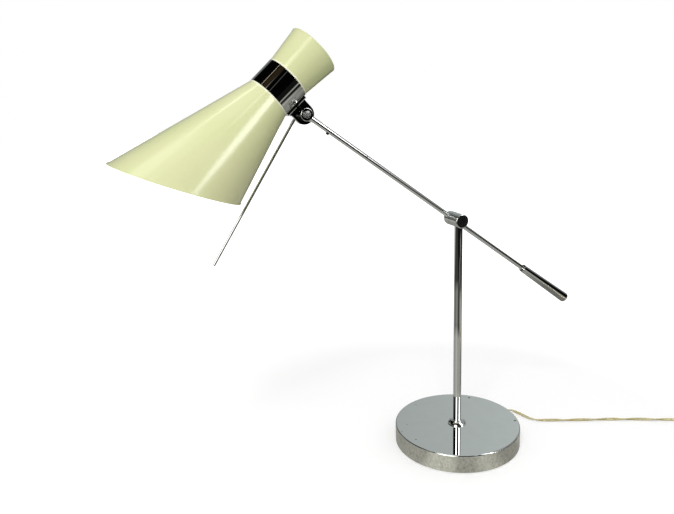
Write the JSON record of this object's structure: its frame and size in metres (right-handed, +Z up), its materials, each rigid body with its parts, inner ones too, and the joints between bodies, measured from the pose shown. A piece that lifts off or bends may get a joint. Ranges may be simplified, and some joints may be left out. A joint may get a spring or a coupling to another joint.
{
  "type": "desk lamp",
  "caption": "Counterbalanced desk lamp: slanted two-cone cream shade on a tilting chrome arm with a tapered counterweight, on a post and a round weighted base.",
  "frame": {"origin": "centre of the base's underside, on the table", "axes": "+Z up the post; the arm swings in a plane parallel to XZ, with the shade towards -X and the counterweight towards +X; the post's barrel points its fixed half towards -Y"},
  "size_m": [0.7207, 0.3358, 0.5169],
  "materials": {
    "chrome": "polished",
    "cream_enamel": "gloss",
    "ballast_iron": "matte",
    "felt": "matte",
    "brass": "satin",
    "fibre": "matte",
    "steel": "satin",
    "dark_steel": "satin",
    "wire": "matte",
    "flex": "gloss",
    "black_phenolic": "satin",
    "bulb_glass": "gloss",
    "ivory_plastic": "satin"
  },
  "bodies": {
    "stand": {"base_shell": "chrome", "base_ballast": "ballast_iron", "base_felt": "felt", "post_nut": "brass", "post_collar": "chrome", "post": "chrome", "pivot_front": "chrome", "pivot_disc": "chrome", "pivot_washer": "fibre", "cord_gland": "ivory_plastic", "lead_wire": "wire", "cord_lead": "flex", "cord_coil": "flex", "switch_lower": "ivory_plastic", "switch_upper": "ivory_plastic", "plug_body": "ivory_plastic", "plug_pins": "brass"},
    "arm": {"pivot_spindle": "steel", "pivot_rear": "chrome", "arm_tube": "chrome", "arm_wire": "wire", "arm_screw": "dark_steel", "counterweight": "chrome", "knuckle_drum": "chrome"},
    "shade": {"knuckle_screw": "chrome", "knuckle_spacer": "fibre", "knuckle_nut": "chrome", "shade_bracket": "chrome", "bracket_screws": "steel", "handle_rod": "chrome", "waist_band": "chrome", "lower_shade": "cream_enamel", "cap_shade": "cream_enamel", "holder_strap": "brass", "lamp_holder": "black_phenolic", "holder_nut": "brass", "holder_wire": "wire", "bulb_cap": "brass", "bulb_globe": "bulb_glass"},
    "rocker": {"switch_rocker": "ivory_plastic"}
  },
  "joints": [
    {"name": "arm_tilt", "type": "hinge", "parent": "stand", "child": "arm", "pos_m": [0, 0.015, 0.294], "axis": [0, 1, 0], "range_deg": [-45, 35]},
    {"name": "shade_tilt", "type": "hinge", "parent": "arm", "child": "shade", "pos_m": [-0.18167, 0.015, 0.42843], "axis": [0, 1, 0], "range_deg": [-50, 60]},
    {"name": "switch_rock", "type": "hinge", "parent": "stand", "child": "rocker", "pos_m": [0.318, -0.172, 0.0094], "axis": [1, 0, 0], "range_deg": [-16, 0]}
  ]
}
